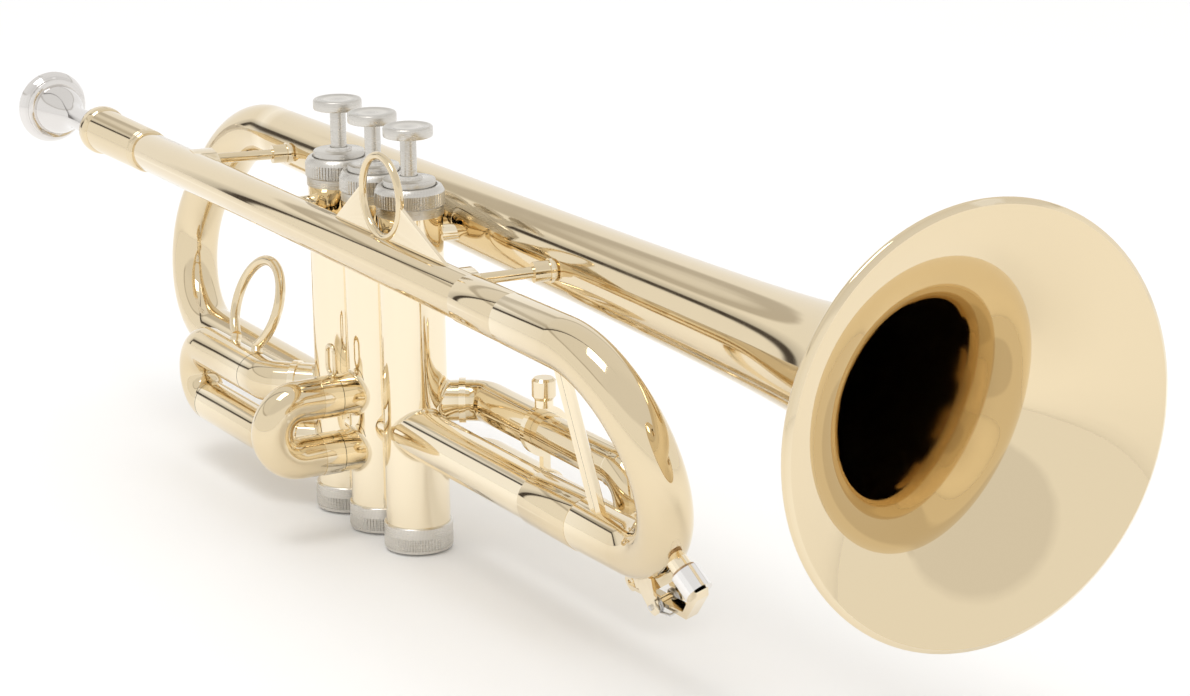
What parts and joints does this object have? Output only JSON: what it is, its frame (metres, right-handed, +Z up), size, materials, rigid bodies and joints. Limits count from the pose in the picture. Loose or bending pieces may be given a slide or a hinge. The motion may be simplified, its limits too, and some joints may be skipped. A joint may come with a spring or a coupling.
{
  "type": "cornet",
  "caption": "Piston-valve brass cornet with a wrapped mouthpipe, flared bell, tuning slides, finger rings, water key and removable mouthpiece.",
  "frame": {"origin": "centre of the flat underside of the middle bottom cap, on the second valve's axis", "axes": "+X forward along the bell's axis, out of the bell; +Y to the player's left, the bell's side; +Z up along the valves, towards the finger buttons"},
  "size_m": [0.5488, 0.134, 0.1706],
  "materials": {
    "lacquered_brass": "polished, clear lacquer",
    "silver_plate": "polished silver plate",
    "satin_nickel": "satin plated nickel",
    "piston_metal": "lapped nickel alloy",
    "spring_steel": "drawn wire",
    "felt": "pressed felt",
    "cork": "natural cork"
  },
  "bodies": {
    "cornet": {"mouthpiece_receiver": "lacquered_brass", "mouthpipe": "lacquered_brass", "tuning_slide_sleeve": "lacquered_brass", "valve_casing_1": "lacquered_brass", "top_cap_1": "satin_nickel", "bottom_cap_1": "satin_nickel", "valve_guide_1": "lacquered_brass", "valve_spring_1": "spring_steel", "valve_casing_2": "lacquered_brass", "top_cap_2": "satin_nickel", "bottom_cap_2": "satin_nickel", "valve_guide_2": "lacquered_brass", "valve_spring_2": "spring_steel", "valve_casing_3": "lacquered_brass", "top_cap_3": "satin_nickel", "bottom_cap_3": "satin_nickel", "valve_guide_3": "lacquered_brass", "valve_spring_3": "spring_steel", "valve_stem_washers": "felt", "valve_knuckles": "lacquered_brass", "first_slide_sleeves": "lacquered_brass", "second_slide_sleeves": "lacquered_brass", "third_slide_sleeves": "lacquered_brass", "slide_knuckle_rings": "lacquered_brass", "third_slide_clamp": "lacquered_brass", "bell": "lacquered_brass", "bell_rim_wire": "spring_steel", "bell_bow": "lacquered_brass", "front_brace": "lacquered_brass", "rear_brace": "lacquered_brass", "valve_struts": "lacquered_brass", "finger_hook_ring": "lacquered_brass", "finger_hook_webs": "lacquered_brass"},
    "mouthpiece": {"mouthpiece": "silver_plate"},
    "tuning_slide": {"tuning_slide_bow": "lacquered_brass", "tuning_slide_inner_tubes": "lacquered_brass", "tuning_slide_ferrules": "lacquered_brass", "tuning_slide_brace": "lacquered_brass", "water_key_saddle": "lacquered_brass", "water_key_nipple": "lacquered_brass", "water_key_pin": "spring_steel"},
    "water_key": {"water_key_lever": "lacquered_brass", "water_key_spring": "spring_steel", "water_key_cup": "silver_plate", "water_key_cork": "cork"},
    "first_slide": {"first_slide_crook": "lacquered_brass", "first_slide_thumb_ring": "lacquered_brass"},
    "second_slide": {"second_slide_crook": "lacquered_brass", "second_slide_pull_ring": "lacquered_brass"},
    "third_slide": {"third_slide_crook": "lacquered_brass"},
    "third_slide_screw": {"third_slide_screw": "lacquered_brass"},
    "valve_1": {"piston_1": "piston_metal", "valve_stem_1": "satin_nickel", "finger_button_1": "satin_nickel"},
    "valve_2": {"piston_2": "piston_metal", "valve_stem_2": "satin_nickel", "finger_button_2": "satin_nickel"},
    "valve_3": {"piston_3": "piston_metal", "valve_stem_3": "satin_nickel", "finger_button_3": "satin_nickel"}
  },
  "joints": [
    {"name": "valve_1_press", "type": "slide", "parent": "cornet", "child": "valve_1", "axis": [0, 0, -1], "range_m": [0, 0.0126], "stiffness_N_per_m": 180, "springref_m": -0.012, "deforming": ["valve_spring_1"]},
    {"name": "valve_2_press", "type": "slide", "parent": "cornet", "child": "valve_2", "axis": [0, 0, -1], "range_m": [0, 0.0126], "stiffness_N_per_m": 180, "springref_m": -0.012, "deforming": ["valve_spring_2"]},
    {"name": "valve_3_press", "type": "slide", "parent": "cornet", "child": "valve_3", "axis": [0, 0, -1], "range_m": [0, 0.0126], "stiffness_N_per_m": 180, "springref_m": -0.012, "deforming": ["valve_spring_3"]},
    {"name": "tuning_slide_pull", "type": "slide", "parent": "cornet", "child": "tuning_slide", "axis": [1, 0, 0], "range_m": [0, 0.035]},
    {"name": "first_slide_pull", "type": "slide", "parent": "cornet", "child": "first_slide", "axis": [-1, 0, 0], "range_m": [0, 0.02]},
    {"name": "second_slide_pull", "type": "slide", "parent": "cornet", "child": "second_slide", "axis": [0, -1, 0], "range_m": [0, 0.012]},
    {"name": "third_slide_pull", "type": "slide", "parent": "cornet", "child": "third_slide", "axis": [1, 0, 0], "range_m": [0, 0.025]},
    {"name": "mouthpiece_pull", "type": "slide", "parent": "cornet", "child": "mouthpiece", "axis": [-1, 0, 0], "range_m": [0, 0.03]},
    {"name": "third_slide_screw_turn", "type": "hinge", "parent": "cornet", "child": "third_slide_screw", "pos_m": [0.0777, 0.02, 0.06], "axis": [0, 0, 1], "range_deg": [0, 180]},
    {"name": "water_key_press", "type": "hinge", "parent": "tuning_slide", "child": "water_key", "pos_m": [0.1833, 0.0016, 0.0282], "axis": [0, 0.9627, 0.2707], "range_deg": [0, 6], "stiffness_Nm_per_rad": 0.05, "springref_deg": -34.38}
  ]
}
